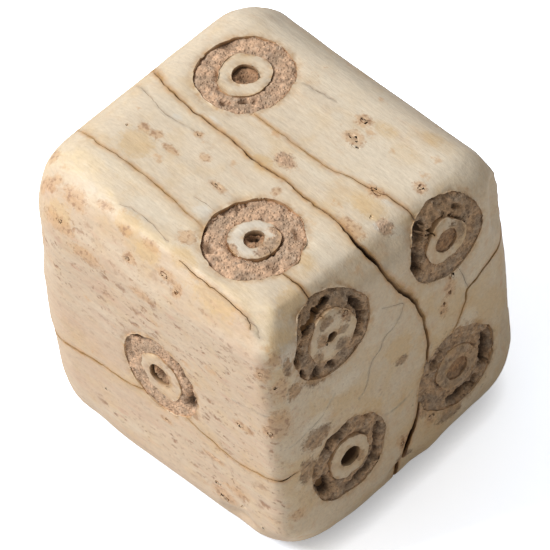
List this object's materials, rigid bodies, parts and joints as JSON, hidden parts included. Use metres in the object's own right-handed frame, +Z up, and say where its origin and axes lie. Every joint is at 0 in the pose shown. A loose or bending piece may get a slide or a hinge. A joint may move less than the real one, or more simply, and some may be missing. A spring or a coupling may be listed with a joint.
{
  "type": "gaming die",
  "caption": "Worn cube-shaped gaming die of cracked bone with soil-filled ring-and-dot pips, rounded edges and flat faces to rest on.",
  "frame": {"origin": "under the middle of the die, on the face it lies on, at the centre of the bounding box's floor", "axes": "+Z up through the face with two pips; +X along the grain of the bone, out of the end with four pips; -Y out of the face with one pip"},
  "size_m": [0.0164, 0.0164, 0.0163],
  "materials": {
    "bone": "worn matte bone with a faint polish on the edges",
    "ring_soil": "granular dried soil",
    "dot_soil": "dark granular dried soil"
  },
  "bodies": {
    "root": {"die_body": "bone", "ring_fill_one_a": "ring_soil", "dot_fill_one_a": "dot_soil", "ring_fill_two_a": "ring_soil", "dot_fill_two_a": "dot_soil", "ring_fill_two_b": "ring_soil", "dot_fill_two_b": "dot_soil", "ring_fill_three_a": "ring_soil", "dot_fill_three_a": "dot_soil", "ring_fill_three_b": "ring_soil", "dot_fill_three_b": "dot_soil", "ring_fill_three_c": "ring_soil", "dot_fill_three_c": "dot_soil", "ring_fill_four_a": "ring_soil", "dot_fill_four_a": "dot_soil", "ring_fill_four_b": "ring_soil", "dot_fill_four_b": "dot_soil", "ring_fill_four_c": "ring_soil", "dot_fill_four_c": "dot_soil", "ring_fill_four_d": "ring_soil", "dot_fill_four_d": "dot_soil", "ring_fill_five_a": "ring_soil", "dot_fill_five_a": "dot_soil", "ring_fill_five_b": "ring_soil", "dot_fill_five_b": "dot_soil", "ring_fill_five_c": "ring_soil", "dot_fill_five_c": "dot_soil", "ring_fill_five_d": "ring_soil", "dot_fill_five_d": "dot_soil", "ring_fill_five_e": "ring_soil", "dot_fill_five_e": "dot_soil", "ring_fill_six_a": "ring_soil", "dot_fill_six_a": "dot_soil", "ring_fill_six_b": "ring_soil", "dot_fill_six_b": "dot_soil", "ring_fill_six_c": "ring_soil", "dot_fill_six_c": "dot_soil", "ring_fill_six_d": "ring_soil", "dot_fill_six_d": "dot_soil", "ring_fill_six_e": "ring_soil", "dot_fill_six_e": "dot_soil", "ring_fill_six_f": "ring_soil", "dot_fill_six_f": "dot_soil"}
  },
  "joints": []
}
